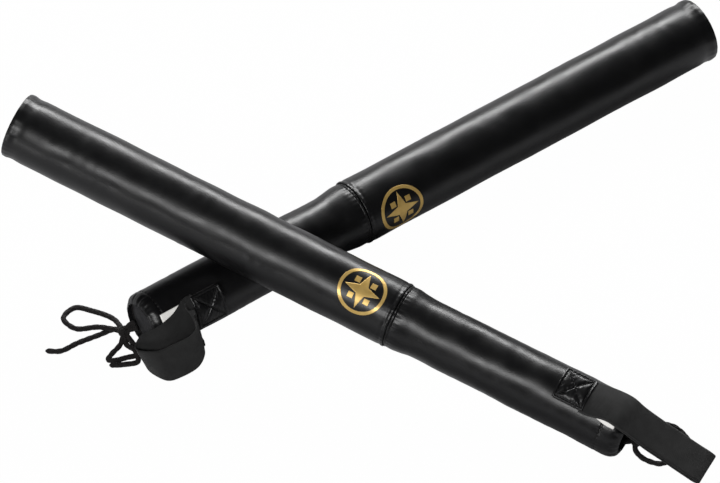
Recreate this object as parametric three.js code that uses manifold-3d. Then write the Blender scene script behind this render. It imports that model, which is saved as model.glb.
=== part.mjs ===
// Focus training sticks: a pair of padded sticks, the upper one lying across the grip of the lower one.
// Millimetres, +Z up. The origin is on the floor, in the middle of the pair's footprint.
//
// Each stick has its own frame: the origin is the middle of the mouth at the grip end, +X runs along
// the axis towards the tip, and +Z is the side that the strap patch is sewn on.

import * as THREE from 'three';
import { mergeVertices } from 'three/addons/utils/BufferGeometryUtils.js';
import Module from 'manifold-3d';

const wasm = await Module();
wasm.setup();

// ---- driving dimensions -------------------------------------------------------------------------

const STICK_LENGTH = 615;
const GRIP_LENGTH = 228;
const STRIKE_RADIUS = 30;
const GRIP_END_RADIUS = 28.4;
const GRIP_NECK_RADIUS = 27.2;
const TAPER_LENGTH = 24;
const MOUTH_RADIUS = 20;
const MOUTH_DEPTH = 12;

const COVER_THICKNESS = 1.2;
const GAP = 0.3;
const SEAM_WIDTH = 3;
const CORE_RADIUS = 16;
const CORE_WALL = 2.5;
const PLUG_DEPTH = 16;
const PLUG_FLANGE = 3;
const TIP_CAP_THICKNESS = 6;
const TIP_PAD_THICKNESS = 12.7;
const END_DISC_THICKNESS = 3;
const END_DISC_RECESS = 5;
const SIDES = 30;

const PATCH_START = 40;
const PATCH_LENGTH = 30;
const PATCH_WIDTH = 33;
const WEBBING_WIDTH = 35;
const WEBBING_THICKNESS = 1.4;
const LABEL_WIDTH = 27;
const LABEL_LENGTH = 43;
const LABEL_START = 9;
const LABEL_THICKNESS = 0.4;
const UPPER_LABEL_ASIDE = 5;
const CORD_RADIUS = 2.2;
const HEM_CORD_RADIUS = 1.6;

// Where the sticks cross, seen from above, measured from each grip end.
const LOWER_CROSSING = 99;
const UPPER_CROSSING = 387;
const LOWER_YAW = 35.1;
const UPPER_YAW = 153.1;

// How far each strap patch is turned about its stick's axis, in whole facets.
const FACET = 360 / SIDES;
const LOWER_ROLL = 5 * FACET;
const UPPER_ROLL = -FACET;

// ---- materials ----------------------------------------------------------------------------------

function finish(color, roughness) {
  return new THREE.MeshStandardMaterial({ color, roughness, metalness: 0 });
}

const FINISH = {
  leather: finish(0x1c1c1e, 0.35),
  lining: finish(0x2a2a2d, 0.6),
  foam: finish(0x4a4a4c, 0.95),
  plastic: finish(0xb9bab8, 0.5),
  webbing: finish(0x2c2c2c, 0.9),
  cord: finish(0x191616, 0.95),
  satin: finish(0xe9e6e0, 0.45),
};

// ---- shape helpers ------------------------------------------------------------------------------

const radians = THREE.MathUtils.degToRad;
const lerp = THREE.MathUtils.lerp;
const smoothstep = THREE.MathUtils.smoothstep;

// Turns a profile of [distance along the axis, radius] points about the X axis. The facets are
// centred on +Z. A profile either starts and ends on the axis or is closed on itself here.
function turned(profile) {
  const points = profile.map(([along, radius]) => new THREE.Vector2(radius, along));
  const onAxis = points[0].x === 0;
  if (!onAxis) points.push(points[0].clone());
  const geometry = new THREE.LatheGeometry(points, SIDES, -radians(FACET / 2));
  return geometry.rotateZ(-Math.PI / 2);
}

// A tube with square ends.
function sleeve(start, end, outer, inner) {
  return turned([[start, inner], [start, outer], [end, outer], [end, inner]]);
}

function disc(start, end, radius) {
  return turned([[start, 0], [start, radius], [end, radius], [end, 0]]);
}

// Bends a flat slab: each vertex's place along, across and through the slab is sent to a new place.
function bentSlab(length, width, thickness, steps, acrossSteps, place) {
  const geometry = new THREE.BoxGeometry(length, width, thickness, steps, acrossSteps, 1);
  const vertices = geometry.getAttribute('position');
  for (let i = 0; i < vertices.count; i++) {
    const point = place(vertices.getX(i) / length + 0.5, vertices.getY(i), vertices.getZ(i));
    vertices.setXYZ(i, point.x, point.y, point.z);
  }
  return geometry;
}

// A slab wrapped round the stick at a given radius, running along the axis.
function wrappedSlab(start, length, width, thickness, radius) {
  return bentSlab(length, width, thickness, 1, 8, (along, across, through) => {
    const angle = across / radius;
    const reach = radius + through;
    return new THREE.Vector3(start + along * length, reach * Math.sin(angle), reach * Math.cos(angle));
  });
}

// Webbing along a path. Each stop gives the middle of the webbing, the direction across it, and how
// far it follows the round of the grip: 1 hugs it and 0 is flat.
function webbing(stops, steps) {
  const path = new THREE.CatmullRomCurve3(stops.map((stop) => stop.at), false, 'centripetal');
  const across = new THREE.CatmullRomCurve3(stops.map((stop) => stop.across));
  const hug = new THREE.CatmullRomCurve3(stops.map((stop) => new THREE.Vector3(stop.hug, 0, 0)));
  const place = (t, sideways, through) => {
    const middle = path.getPoint(t);
    const side = across.getPoint(t).normalize();
    const face = new THREE.Vector3().crossVectors(path.getTangent(t), side).normalize();
    const bend = Math.max(hug.getPoint(t).x, 0.001) / GRIP_END_RADIUS;
    // The webbing hugs the grip on the face that looks at it, which is the one towards the axis.
    const outwards = face.z * middle.z + face.y * middle.y > 0 ? 1 : -1;
    const radius = outwards / bend;
    const angle = sideways / radius;
    return middle.clone()
      .addScaledVector(face, (radius + through) * Math.cos(angle) - radius)
      .addScaledVector(side, (radius + through) * Math.sin(angle));
  };
  return bentSlab(1, WEBBING_WIDTH, WEBBING_THICKNESS, steps, 4, place);
}

// A round cord along a smooth path.
function cord(points, steps) {
  const section = new THREE.Shape();
  section.absarc(0, 0, CORD_RADIUS, 0, 2 * Math.PI);
  const extrudePath = new THREE.CatmullRomCurve3(points, false, 'centripetal');
  return new THREE.ExtrudeGeometry(section, { steps, curveSegments: 3, bevelEnabled: false, extrudePath });
}

function asManifold(geometry) {
  const bare = geometry.clone();
  bare.deleteAttribute('normal');
  bare.deleteAttribute('uv');
  const merged = mergeVertices(bare, 1e-4);
  const vertProperties = new Float32Array(merged.getAttribute('position').array);
  const triVerts = new Uint32Array(merged.getIndex().array);
  return new wasm.Manifold(new wasm.Mesh({ numProp: 3, vertProperties, triVerts }));
}

function joined(geometries) {
  const solid = geometries.map(asManifold).reduce((whole, piece) => whole.add(piece));
  const mesh = solid.getMesh();
  const geometry = new THREE.BufferGeometry();
  geometry.setAttribute('position', new THREE.BufferAttribute(mesh.vertProperties, 3));
  geometry.setIndex(new THREE.BufferAttribute(mesh.triVerts, 1));
  geometry.computeVertexNormals();
  return geometry;
}

// ---- the padded body of a stick -----------------------------------------------------------------

const TAPER_END = GRIP_LENGTH - SEAM_WIDTH - GAP;
const TAPER_START = TAPER_END - TAPER_LENGTH;

// The outside of the grip: slightly fuller at its end, flaring to the seam, and drawn in at the mouth.
function gripRadius(along) {
  const straight = lerp(GRIP_END_RADIUS, GRIP_NECK_RADIUS, Math.min(along / TAPER_START, 1));
  const flare = (STRIKE_RADIUS - 0.8 - GRIP_NECK_RADIUS) * smoothstep(along, TAPER_START, TAPER_END);
  if (along >= MOUTH_DEPTH) return straight + flare;
  const inFromMouth = 1 - along / MOUTH_DEPTH;
  return lerp(MOUTH_RADIUS, straight, Math.sqrt(1 - inFromMouth * inFromMouth));
}

function along(start, end, count) {
  return Array.from({ length: count + 1 }, (_, i) => lerp(start, end, i / count));
}

// The grip's surface, moved in by a depth, as profile points from start to end.
function gripProfile(places, depth) {
  return places.map((place) => [place, gripRadius(place) - depth]);
}

function gripCover() {
  const mouth = along(0, MOUTH_DEPTH, 4);
  const taper = along(TAPER_START, TAPER_END, 3);
  const outside = gripProfile([...mouth, ...taper], 0);
  const inside = gripProfile([...mouth.slice(1), ...taper], COVER_THICKNESS).reverse();
  const lip = [MOUTH_DEPTH / 5, MOUTH_RADIUS];
  return turned([...outside, ...inside, lip]);
}

function gripFoam() {
  const places = [MOUTH_DEPTH + 4, ...along(TAPER_START, TAPER_END, 3)];
  const outside = gripProfile(places, COVER_THICKNESS + GAP);
  const bore = CORE_RADIUS + GAP;
  return turned([[places[0], bore], ...outside, [TAPER_END, bore]]);
}

function strikeFoam(end) {
  const radius = STRIKE_RADIUS - COVER_THICKNESS - GAP;
  return sleeve(GRIP_LENGTH + 1, end, radius, CORE_RADIUS + GAP);
}

// The sleeve of the padded end, with a soft neck and lip at the tip.
function strikeCover() {
  const start = GRIP_LENGTH + GAP;
  const inner = STRIKE_RADIUS - COVER_THICKNESS;
  const lipWidth = 3;
  const lipEnd = STICK_LENGTH - 4;
  const rimEnd = lipEnd + 2;
  const neck = lipEnd - 7;
  const neckDepth = 0.5;
  return turned([
    [start, inner],
    [start, STRIKE_RADIUS],
    [neck - 5, STRIKE_RADIUS],
    [neck, STRIKE_RADIUS - neckDepth],
    [lipEnd - lipWidth, STRIKE_RADIUS],
    [lipEnd, STRIKE_RADIUS],
    [rimEnd, inner + COVER_THICKNESS / 2],
    [rimEnd, inner],
  ]);
}

// The folded edge that is sewn round the stick between the two covers.
function seamRing() {
  const end = GRIP_LENGTH;
  const start = end - SEAM_WIDTH;
  const inner = STRIKE_RADIUS - 2 * COVER_THICKNESS;
  const crown = STRIKE_RADIUS - 0.1;
  const edge = 1;
  return turned([
    [start, inner],
    [start, crown - 0.8],
    [start + edge, crown],
    [end - edge, crown],
    [end, crown - 0.5],
    [end, inner],
  ]);
}

// The disc that closes the tip, with a rounded rim and a flat face.
function tipCap() {
  const face = STICK_LENGTH;
  const back = face - TIP_CAP_THICKNESS;
  const radius = STRIKE_RADIUS - COVER_THICKNESS - 2 * GAP;
  const rim = 2.5;
  return turned([
    [back, 0],
    [back, radius],
    [face - rim, radius],
    [face - rim / 3, radius - rim / 2],
    [face, radius - 1.6 * rim],
    [face, 0],
  ]);
}

function tipPad() {
  const end = STICK_LENGTH - TIP_CAP_THICKNESS - GAP;
  const radius = STRIKE_RADIUS - COVER_THICKNESS - GAP;
  return disc(end - TIP_PAD_THICKNESS, end, radius);
}

// A plug: a spigot inside the tube and a flange over its end. `face` is the end of the tube, and
// `outwards` is +1 at the tip and -1 at the grip.
function plug(face, outwards) {
  const spigot = CORE_RADIUS - CORE_WALL - GAP;
  const flange = CORE_RADIUS - GAP;
  const inside = face - outwards * PLUG_DEPTH;
  const seat = face + outwards * GAP;
  const outside = face + outwards * PLUG_FLANGE;
  const points = [
    [inside, 0],
    [inside, spigot],
    [seat, spigot],
    [seat, flange],
    [outside, flange],
    [outside, 0],
  ];
  return turned(outwards > 0 ? points : points.reverse());
}

// The disc recessed in the mouth of the grip. Its rim is held inside the gathered hem.
function gripEndDisc() {
  return disc(END_DISC_RECESS, END_DISC_RECESS + END_DISC_THICKNESS, MOUTH_RADIUS + 0.8);
}

// The drawcord's run inside the hem channel.
function hemCord() {
  const middle = MOUTH_DEPTH / 2;
  const ringRadius = gripRadius(middle) - COVER_THICKNESS - HEM_CORD_RADIUS - 1;
  const corners = 6;
  const points = [];
  for (let i = 0; i < corners; i++) {
    const angle = 2 * Math.PI * (i / corners);
    const across = HEM_CORD_RADIUS * Math.cos(angle);
    const outwards = HEM_CORD_RADIUS * Math.sin(angle);
    points.push([middle - across, ringRadius + outwards]);
  }
  return turned(points);
}

// ---- the strap end of a stick -------------------------------------------------------------------

const LABEL_RADIUS = GRIP_END_RADIUS + GAP + LABEL_THICKNESS / 2;
const INNER_LAYER = LABEL_RADIUS + LABEL_THICKNESS / 2 + GAP + WEBBING_THICKNESS / 2;
const OUTER_LAYER = INNER_LAYER + WEBBING_THICKNESS + GAP;
const PATCH_RADIUS = OUTER_LAYER + WEBBING_THICKNESS / 2 + GAP + COVER_THICKNESS / 2;

// The loop starts just clear of the patch's edge, and stands a little off the label.
const LOOP_START = PATCH_START - 3.8;
const LOOP_INNER = INNER_LAYER + 0.5;
const LOOP_OUTER = OUTER_LAYER + 0.6;

function strapPatch() {
  return wrappedSlab(PATCH_START, PATCH_LENGTH, PATCH_WIDTH, COVER_THICKNESS, PATCH_RADIUS);
}

// The label's middle can lie a little to one side of the strap's.
function careLabel(aside) {
  const label = wrappedSlab(LABEL_START, LABEL_LENGTH, LABEL_WIDTH, LABEL_THICKNESS, LABEL_RADIUS);
  return label.rotateX(-aside / LABEL_RADIUS);
}

// The two sewn-down ends of the webbing, one on the other, under the patch.
function strapEnds() {
  const thickness = 2 * WEBBING_THICKNESS + GAP;
  const radius = (INNER_LAYER + OUTER_LAYER) / 2;
  return wrappedSlab(PATCH_START + 1, PATCH_LENGTH - 2, PATCH_WIDTH - 2, thickness, radius);
}

function stop(x, y, z, across, hug) {
  return { at: new THREE.Vector3(x, y, z), across: new THREE.Vector3(...across), hug };
}

// The lower strap stands open on its edge on the floor. The inner layer leaves the patch, runs past
// the end of the grip, turns back, and returns to the patch as the outer layer.
function openLoop() {
  const upright = [0, 1, 0];
  return webbing([
    stop(LOOP_START, 0, LOOP_INNER, upright, 0.9),
    stop(20, -7.5, 30.6, [0, 0.98, 0.2], 0.9),
    stop(3, -10.5, 29, [-0.05, 0.94, 0.34], 0.7),
    stop(-10, -11.6, 22.6, [-0.25, 0.91, 0.33], 0.3),
    stop(-16.5, -16, 18, [-0.3, 0.85, 0.45], 0),
    stop(-18, -20, 22.5, [-0.3, 0.89, 0.36], 0),
    stop(-7, -28.6, 32, [-0.1, 0.97, 0.22], 0),
    stop(8, -30, 34.5, [0, 0.99, 0.15], 0),
    stop(23, -27.5, 36.5, [0, 0.98, 0.2], 0),
    stop(31.5, -18, 36.8, [-0.03, 0.97, 0.24], 0.1),
    stop(LOOP_START, -4, LOOP_OUTER, upright, 0.8),
  ], 44);
}

// The upper strap lies flattened: it bends down over the end of the grip, and its fold hangs just
// above the floor. It is turned with its patch at one end and level at the fold.
function flatLoop() {
  const turned = [0, 1, 0];
  const level = [0, Math.cos(radians(UPPER_ROLL)), -Math.sin(radians(UPPER_ROLL))];
  return webbing([
    stop(LOOP_START, 0, LOOP_INNER, turned, 0.9),
    stop(20, -2, LOOP_INNER + 0.3, turned, 0.85),
    stop(10, -0.8, LOOP_INNER + 0.2, turned, 0.75),
    stop(3, -0.2, 28.4, turned, 0.55),
    stop(-5, -0.8, 22.2, level, 0.25),
    stop(-21, -2, 11, level, 0),
    stop(-40, -3.2, 2, level, 0),
    stop(-60, -4, -6.8, level, 0),
    stop(-71, -4.5, -10.8, level, 0),
    stop(-75, -4.6, -9, level, 0),
    stop(-71, -4.5, -6, level, 0),
    stop(-60, -4, -1.6, level, 0),
    stop(-40, -3.2, 7, level, 0),
    stop(-21, -2, 16, level, 0),
    stop(-5, -0.8, 26, level, 0.25),
    stop(3, -0.2, 30.8, turned, 0.5),
    stop(10, -0.8, 32.8, turned, 0.65),
    stop(20, -2, LOOP_OUTER + 0.2, turned, 0.8),
    stop(LOOP_START, 0, LOOP_OUTER, turned, 0.8),
  ], 56);
}

// ---- drawcord bows ------------------------------------------------------------------------------

// A knot with its loops and tails. Each strand starts in the knot; a loop also ends there. The strands'
// ends are spread about the knot's middle, so that no two of their corners meet in one point.
function bow(knot, loops, tails) {
  const corner = ([x, y, z]) => new THREE.Vector3(x, y, z);
  const inKnot = (turn) => {
    const spread = new THREE.Vector3(Math.cos(turn), Math.sin(turn), Math.cos(2 * turn));
    return corner(knot).addScaledVector(spread, KNOT_SPREAD);
  };
  const knotBall = new THREE.SphereGeometry(2 * CORD_RADIUS, 10, 8).translate(...knot);
  const loopCords = loops.map((points, i) => {
    const path = [inKnot(1 + 3 * i), ...points.map(corner), inKnot(2 + 3 * i)];
    return cord(path, LOOP_STEPS);
  });
  const tailCords = tails.map((points) => cord([inKnot(0), ...points.map(corner)], TAIL_STEPS));
  return joined([knotBall, ...loopCords, ...tailCords]);
}

// These two are in the stick's frame before it is turned about its axis, so that Z is up.
const KNOT_SPREAD = 0.7;
const LOOP_STEPS = 26;
const TAIL_STEPS = 14;
const LOWER_KNOT = [-7.5, 17, -19];
const UPPER_KNOT = [-8, -4, -13];

function lowerBow() {
  const longLoop = [
    [-4, 40, -26], [-14, 59, -27], [-24, 70, -27], [-39, 66, -27], [-37, 50, -27], [-20, 38, -25],
  ];
  const shortLoop = [[-15, 11, -26], [-29, 7, -27], [-31, 0, -27], [-17, -6, -27], [-9, 2, -26]];
  const tail = [[-10, 28, -25], [-25, 32, -27], [-45, 35, -27], [-62, 36, -27], [-73, 44, -27]];
  return bow(LOWER_KNOT, [longLoop, shortLoop], [tail]);
}

function upperBow() {
  const farLoop = [[-16, -27, -11], [-30, -34, -11], [-48, -27, -13], [-43, -15, -14], [-24, -9, -14]];
  const nearLoop = [[-12, 1, -20], [-23, 6, -21], [-38, 4, -19], [-42, -3, -18], [-26, -4, -17]];
  return bow(UPPER_KNOT, [farLoop, nearLoop], []);
}

// ---- a whole stick ------------------------------------------------------------------------------

function stick(name, roll, strapLoop, drawcordBow, labelAside) {
  const placed = new THREE.Group();
  const turnedPart = new THREE.Group();
  turnedPart.rotation.x = radians(roll);
  placed.add(turnedPart);

  const add = (part, geometry, material, group = turnedPart) => {
    const mesh = new THREE.Mesh(geometry, material);
    mesh.name = `${name}_${part}`;
    group.add(mesh);
  };

  const coreStart = END_DISC_RECESS + 14;
  const coreEnd = STICK_LENGTH - 24;
  const coreRadius = CORE_RADIUS - CORE_WALL;
  add('core_tube', sleeve(coreStart, coreEnd, CORE_RADIUS, coreRadius), FINISH.plastic);
  add('core_plug_tip', plug(coreEnd, 1), FINISH.plastic);
  add('core_plug_grip', plug(coreStart, -1), FINISH.plastic);
  add('strike_foam', strikeFoam(coreEnd + PLUG_FLANGE + 1), FINISH.foam);
  add('grip_foam', gripFoam(), FINISH.foam);
  add('tip_pad', tipPad(), FINISH.foam);
  add('strike_cover', strikeCover(), FINISH.leather);
  add('tip_cap', tipCap(), FINISH.leather);
  add('seam_ring', seamRing(), FINISH.leather);
  add('grip_cover', gripCover(), FINISH.leather);
  add('grip_end_disc', gripEndDisc(), FINISH.lining);
  add('hem_cord', hemCord(), FINISH.cord);
  add('strap_patch', strapPatch(), FINISH.leather);
  add('strap_ends', strapEnds(), FINISH.webbing);
  add('strap_loop', strapLoop, FINISH.webbing);
  add('care_label', careLabel(labelAside), FINISH.satin);
  add('drawcord_bow', drawcordBow, FINISH.cord, placed);
  return placed;
}

// ---- laying the pair down -----------------------------------------------------------------------

// A stick's direction from its grip end, from its turn seen from above and its slope.
function direction(yaw, slope) {
  return new THREE.Vector3(Math.cos(yaw) * Math.cos(slope), Math.sin(yaw) * Math.cos(slope), Math.sin(slope));
}

const facetDepth = Math.cos(Math.PI / SIDES);
const lowerHeight = STRIKE_RADIUS * facetDepth;

// The upper stick rests on its grip end and on the lower grip. Its slope settles in a few rounds,
// because the crossing's height depends on the slope.
const axisGap = STRIKE_RADIUS + gripRadius(LOWER_CROSSING) + GAP;
let upperSlope = 0;
for (let round = 0; round < 20; round++) {
  const lowerAxis = direction(radians(LOWER_YAW), 0);
  const upperAxis = direction(radians(UPPER_YAW), upperSlope);
  const shared = new THREE.Vector3().crossVectors(upperAxis, lowerAxis).normalize();
  const rise = lowerHeight + axisGap / Math.abs(shared.z) - GRIP_END_RADIUS * Math.cos(upperSlope);
  upperSlope = Math.atan2(rise, UPPER_CROSSING);
}

const lower = stick('lower', LOWER_ROLL, openLoop(), lowerBow(), 0);
lower.rotation.order = 'ZYX';
lower.rotation.z = radians(LOWER_YAW);
lower.position.copy(direction(radians(LOWER_YAW), 0)).multiplyScalar(-LOWER_CROSSING);
lower.position.z = lowerHeight;

const upper = stick('upper', UPPER_ROLL, flatLoop(), upperBow(), UPPER_LABEL_ASIDE);
upper.rotation.order = 'ZYX';
upper.rotation.z = radians(UPPER_YAW);
upper.rotation.y = -upperSlope;
upper.position.copy(direction(radians(UPPER_YAW), 0)).multiplyScalar(-UPPER_CROSSING);
upper.position.z = GRIP_END_RADIUS * Math.cos(upperSlope);

const pair = new THREE.Group();
pair.add(lower, upper);

const footprint = new THREE.Box3().setFromObject(pair, true);
pair.position.x = -(footprint.min.x + footprint.max.x) / 2;
pair.position.y = -(footprint.min.y + footprint.max.y) / 2;
pair.position.z = -footprint.min.z;

export default pair;
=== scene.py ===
"""The looks of a pair of padded focus training sticks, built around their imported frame. Metres, +Z up."""
import math

import bmesh
import bpy
import numpy as np
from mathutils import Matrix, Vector


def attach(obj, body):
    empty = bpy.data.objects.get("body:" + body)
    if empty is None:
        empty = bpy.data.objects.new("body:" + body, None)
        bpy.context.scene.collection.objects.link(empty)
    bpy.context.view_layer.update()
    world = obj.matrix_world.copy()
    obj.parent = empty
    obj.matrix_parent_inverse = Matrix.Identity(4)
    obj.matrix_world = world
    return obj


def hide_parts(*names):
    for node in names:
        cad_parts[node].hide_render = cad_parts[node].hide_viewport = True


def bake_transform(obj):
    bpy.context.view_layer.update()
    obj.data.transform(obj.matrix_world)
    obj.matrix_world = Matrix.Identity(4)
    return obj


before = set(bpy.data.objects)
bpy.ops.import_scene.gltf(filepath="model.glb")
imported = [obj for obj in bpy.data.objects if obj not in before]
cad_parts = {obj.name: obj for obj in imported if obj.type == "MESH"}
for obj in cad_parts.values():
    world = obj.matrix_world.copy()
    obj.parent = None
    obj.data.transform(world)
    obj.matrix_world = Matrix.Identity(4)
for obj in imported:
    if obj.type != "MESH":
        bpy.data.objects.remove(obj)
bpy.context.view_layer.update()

MM = 0.001
TURN = 2 * math.pi

# ---- dimensions that the frame doesn't hold ----

COVER_THICKNESS = 0.9 * MM
TAPER_LENGTH = 26 * MM
# From the outside of the cord in the hem to the outside of the grip.
HEM_OVER_CORD = 3.6 * MM
# The CAD makes the sticks a little too long, so they are drawn this much shorter at the tip.
TIP_SHORTER = 5 * MM

WEBBING_WIDTH = 35 * MM
WEBBING_THICKNESS = 1.4 * MM
LABEL_THICKNESS = 0.35 * MM
CORD_RADIUS = 2.4 * MM

STITCH_PITCH = 4.4 * MM
STITCH_LENGTH = 3.0 * MM
# How unevenly the stitches round a stick are spaced, in radians.
STITCH_WANDER = 0.012
PATCH_STITCH_PITCH = 3.3 * MM
PATCH_STITCH_INSET = 2.6 * MM
THREAD_RADIUS = 0.35 * MM

EMBLEM_RADIUS = 22 * MM
EMBLEM_FROM_SEAM = 33 * MM

# The flats of the CAD's round sleeves lie this much closer to the axis than their corners.
CAD_SIDES = 30
FACET_DEPTH = math.cos(math.pi / CAD_SIDES)


# ---- the frame of one stick ----

def corners(node):
    """The different corners of a CAD node, as an array."""
    points = np.array([v.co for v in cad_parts[node].data.vertices])
    return np.unique(np.round(points, 7), axis=0)


def unit(vector):
    """A vector, or each row of an array, at length 1."""
    return vector / np.linalg.norm(vector, axis=-1, keepdims=True)


class Stick:
    """A stick's own axes, read from its CAD nodes. The origin is the middle of the grip end, x runs to
    the tip, z points at the strap patch, and angles are measured about x from z towards y. The hem is
    sewn down at hem_stitch along x."""

    def __init__(self, name, hem_stitch):
        self.name = name
        self.hem_stitch = hem_stitch
        self.body = f"{name}_stick"
        tip = corners(self.node("tip_cap")).mean(axis=0)
        disc = corners(self.node("grip_end_disc")).mean(axis=0)
        self.x = unit(tip - disc)
        grip_end = ((corners(self.node("grip_cover")) - disc) @ self.x).min()
        self.origin = disc + self.x * grip_end
        patch = corners(self.node("strap_patch")).mean(axis=0) - self.origin
        self.z = unit(patch - self.x * (patch @ self.x))
        self.y = np.cross(self.z, self.x)
        self.level_y = unit(np.cross([0, 0, 1], self.x))
        self.level_z = np.cross(self.x, self.level_y)
        self.length = self.span("tip_cap")[1] - TIP_SHORTER
        self.seam = self.span("strike_cover")[0]
        self.strike_radius = self.reach("strike_cover") * FACET_DEPTH
        self.grip_radius = self.reach("hem_cord") + HEM_OVER_CORD
        # The seed comes from the name, so that the sticks differ and every run is the same.
        self.rng = np.random.default_rng(sum(map(ord, name)))

    def node(self, part):
        return f"{self.name}_{part}"

    def span(self, part):
        """Where a CAD node starts and ends along the axis."""
        along = (corners(self.node(part)) - self.origin) @ self.x
        return along.min(), along.max()

    def radii(self, part):
        points = corners(self.node(part)) - self.origin
        return np.linalg.norm(points - np.outer(points @ self.x, self.x), axis=1)

    def reach(self, part):
        """How far a CAD node's corners reach from the axis."""
        return self.radii(part).max()

    def sector(self, part):
        """The lowest and highest angle of a CAD node's corners."""
        points = corners(self.node(part)) - self.origin
        angle = np.arctan2(points @ self.y, points @ self.z)
        return angle.min(), angle.max()

    def at(self, along, angle, radius):
        """Points from cylindrical coordinates, which may be arrays."""
        along, angle, radius = np.broadcast_arrays(along, angle, radius)
        outwards = np.cos(angle)[..., None] * self.z + np.sin(angle)[..., None] * self.y
        return self.origin + along[..., None] * self.x + radius[..., None] * outwards

    def level_point(self, x, y, z):
        """A point in the stick's frame before it is turned about its axis, with z up."""
        return self.origin + x * self.x + y * self.level_y + z * self.level_z


# ---- mesh helpers ----

# Points closer together than this become one point.
SAME_PLACE = 1e-7


def piece(name, verts, faces, cloth=None):
    """A smooth mesh object. cloth holds each point's place on the cloth, in metres."""
    mesh = bpy.data.meshes.new(name)
    mesh.from_pydata([tuple(v) for v in verts], [], faces)
    if cloth is not None:
        places = mesh.attributes.new("cloth", "FLOAT_VECTOR", "POINT")
        places.data.foreach_set("vector", np.asarray(cloth, np.float32).ravel())
    shape = bmesh.new()
    shape.from_mesh(mesh)
    bmesh.ops.remove_doubles(shape, verts=shape.verts, dist=SAME_PLACE)
    bmesh.ops.recalc_face_normals(shape, faces=shape.faces)
    for face in shape.faces:
        face.smooth = True
    shape.to_mesh(mesh)
    shape.free()
    made = bpy.data.objects.new(name, mesh)
    bpy.context.scene.collection.objects.link(made)
    return made


def grid_faces(rows, columns, first=0, close_rows=False):
    """Quads over rows of points, where each row closes on itself."""
    faces = []
    for row in range(rows if close_rows else rows - 1):
        here = first + row * columns
        there = first + (row + 1) % rows * columns
        for column in range(columns):
            after = (column + 1) % columns
            faces.append((here + column, here + after, there + after, there + column))
    return faces


def capped(points):
    """Closes both ends of a swept grid with a row that shrinks to the middle of its neighbour."""
    middles = np.broadcast_to(points.mean(axis=1, keepdims=True), points.shape)
    return np.concatenate([middles[:1], points, middles[-1:]])


def swept(name, *grids, close_rows=False, cloth=None):
    """One mesh of one or more grids of points. cloth holds a place for each of their points."""
    faces = []
    first = 0
    for grid in grids:
        rows, columns = grid.shape[:2]
        faces += grid_faces(rows, columns, first, close_rows)
        first += rows * columns
    verts = np.concatenate([grid.reshape(-1, 3) for grid in grids])
    return piece(name, verts, faces, cloth)


def smoothstep(value, low, high):
    """0 below low and 1 above high, with a smooth rise between them."""
    t = np.clip((value - low) / (high - low), 0, 1)
    return t * t * (3 - 2 * t)


def bell(value, centre, width):
    """1 at the centre, falling smoothly to 0 on both sides."""
    return np.exp(-(((value - centre) / width) ** 2))


def ridge(distance, height, middle, width):
    """A rounded ridge at a distance along the axis, or a groove if its height is negative. The last
    three are in millimetres."""
    return height * MM * bell(distance, middle * MM, width * MM)


def waves(stick, count, shortest, longest, turns):
    """A sum of random waves over a sleeve, with a root mean square of about 1. Each has its own length
    along the axis, and winds about it by up to some turns."""
    rng = stick.rng
    length = np.exp(rng.uniform(math.log(shortest), math.log(longest), count))
    around = rng.integers(-turns, turns + 1, count)
    phase = rng.uniform(0, TURN, count)

    def height(along, angle):
        total = 0
        for k in range(count):
            total = total + np.sin(TURN * along / length[k] + around[k] * angle + phase[k])
        return total / math.sqrt(count / 2)

    return height


def smooth_path(stops, count):
    """A centripetal Catmull-Rom curve through stops, sampled evenly in its parameter. A stop is a place,
    and after it any values that change smoothly along with it."""
    stops = np.asarray(stops, float)
    ends = [2 * stops[0] - stops[1], *stops, 2 * stops[-1] - stops[-2]]
    path = []
    for t in np.linspace(0, len(stops) - 1, count):
        i = min(int(t), len(stops) - 2)
        p = ends[i:i + 4]
        gaps = [max(np.linalg.norm(b[:3] - a[:3]), 1e-6) ** 0.5 for a, b in zip(p, p[1:])]
        u = t - i
        start = ((p[1] - p[0]) / gaps[0] - (p[2] - p[0]) / (gaps[0] + gaps[1])) * gaps[1] + p[2] - p[1]
        end = ((p[3] - p[2]) / gaps[2] - (p[3] - p[1]) / (gaps[1] + gaps[2])) * gaps[1] + p[2] - p[1]
        square, cube = u * u, u ** 3
        path.append((2 * cube - 3 * square + 1) * p[1] + (cube - 2 * square + u) * start
                    + (3 * square - 2 * cube) * p[2] + (cube - square) * end)
    return np.array(path)


def path_length(path):
    """How far along the path each of its points lies."""
    return np.concatenate([[0], np.cumsum(np.linalg.norm(np.diff(path, axis=0), axis=1))])


def slopes(path):
    """The unit direction of the path at each of its points."""
    return unit(np.gradient(path, axis=0))


# ---- materials ----

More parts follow.
